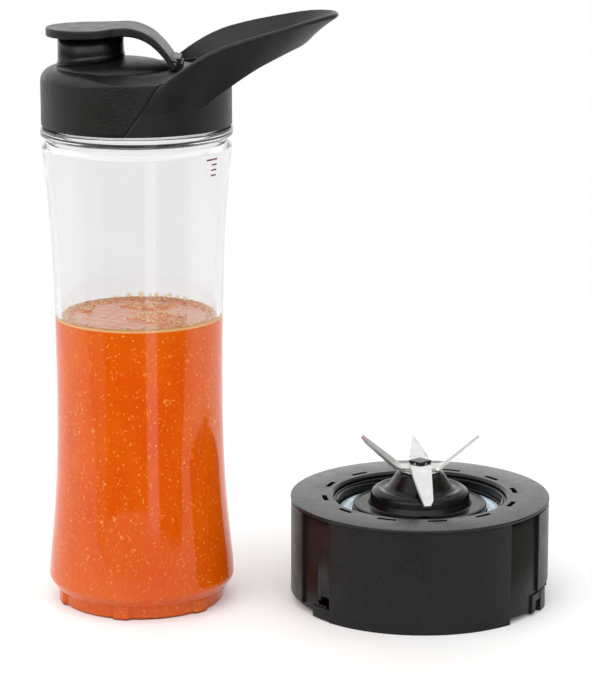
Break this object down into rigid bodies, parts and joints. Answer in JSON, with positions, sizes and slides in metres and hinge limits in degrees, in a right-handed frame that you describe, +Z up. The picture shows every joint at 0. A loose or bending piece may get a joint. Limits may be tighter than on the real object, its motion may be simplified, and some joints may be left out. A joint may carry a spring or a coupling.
{
  "type": "personal blender bottle and blade unit",
  "caption": "Clear waisted travel bottle of orange smoothie, with a screw lid, hinged spout flap and carry loop, and its detached screw-on blade unit standing beside it.",
  "frame": {"origin": "on the table, under the middle of the bounding box of the bottle and the blade unit together", "axes": "+Z up; +X from the bottle to the blade unit, which is also the way the carry loop points; -Y is the front"},
  "size_m": [0.2108, 0.1086, 0.2462],
  "materials": {
    "clear_plastic": "clear, colourless, polished",
    "smoothie": "opaque orange drink with pale flecks and a frothy top",
    "matte_black": "fine-textured black moulding",
    "satin_black": "smooth satin black moulding",
    "black_rubber": "matte black elastomer",
    "silicone": "translucent bluish silicone",
    "steel": "turned stainless steel",
    "blade_steel": "ground stainless steel, finely brushed along each blade",
    "bronze": "sintered bronze"
  },
  "bodies": {
    "bottle": {"bottle": "clear_plastic", "smoothie": "smoothie"},
    "lid_carriage": {"lid_gasket": "silicone"},
    "lid": {"lid_shell": "matte_black", "carry_loop": "matte_black", "flap_hinge_pin": "steel"},
    "flap": {"spout_flap": "satin_black", "spout_plug": "black_rubber"},
    "blade_unit": {"collar_housing": "matte_black", "collar_top_cover": "matte_black", "blade_carrier": "satin_black", "bottle_seal": "silicone", "bottom_cover": "matte_black", "bottom_screw_1": "steel", "bottom_screw_2": "steel", "bottom_screw_3": "steel", "bottom_screw_4": "steel", "upper_bush": "bronze", "lower_bush": "bronze", "shaft_seal": "black_rubber"},
    "rotor": {"blade_shaft": "steel", "blade_washer": "steel", "lower_blade": "blade_steel", "upper_blade": "blade_steel", "thrust_washer": "steel", "retaining_clip": "steel", "drive_coupling": "satin_black"}
  },
  "joints": [
    {"name": "lid_rise", "type": "slide", "parent": "bottle", "child": "lid_carriage", "axis": [0, 0, 1], "range_m": [0, 0.012]},
    {"name": "lid_unscrew", "type": "hinge", "parent": "lid_carriage", "child": "lid", "pos_m": [-0.06603, 0, 0.2016], "axis": [0, 0, 1], "range_deg": [0, 540]},
    {"name": "flap_open", "type": "hinge", "parent": "lid", "child": "flap", "pos_m": [-0.04983, 0, 0.2279], "axis": [0, 1, 0], "range_deg": [0, 120]},
    {"name": "blade_unit_lift", "type": "slide", "parent": "bottle", "child": "blade_unit", "axis": [0, 0, 1], "range_m": [0, 0.06]},
    {"name": "blade_spin", "type": "hinge", "parent": "blade_unit", "child": "rotor", "pos_m": [0.05108, 0, 0.05], "axis": [0, 0, 1], "continuous": true}
  ],
  "couplings": [
    {"joint": "lid_rise", "follows": "lid_unscrew", "m_per_rad": 0.0012732}
  ]
}
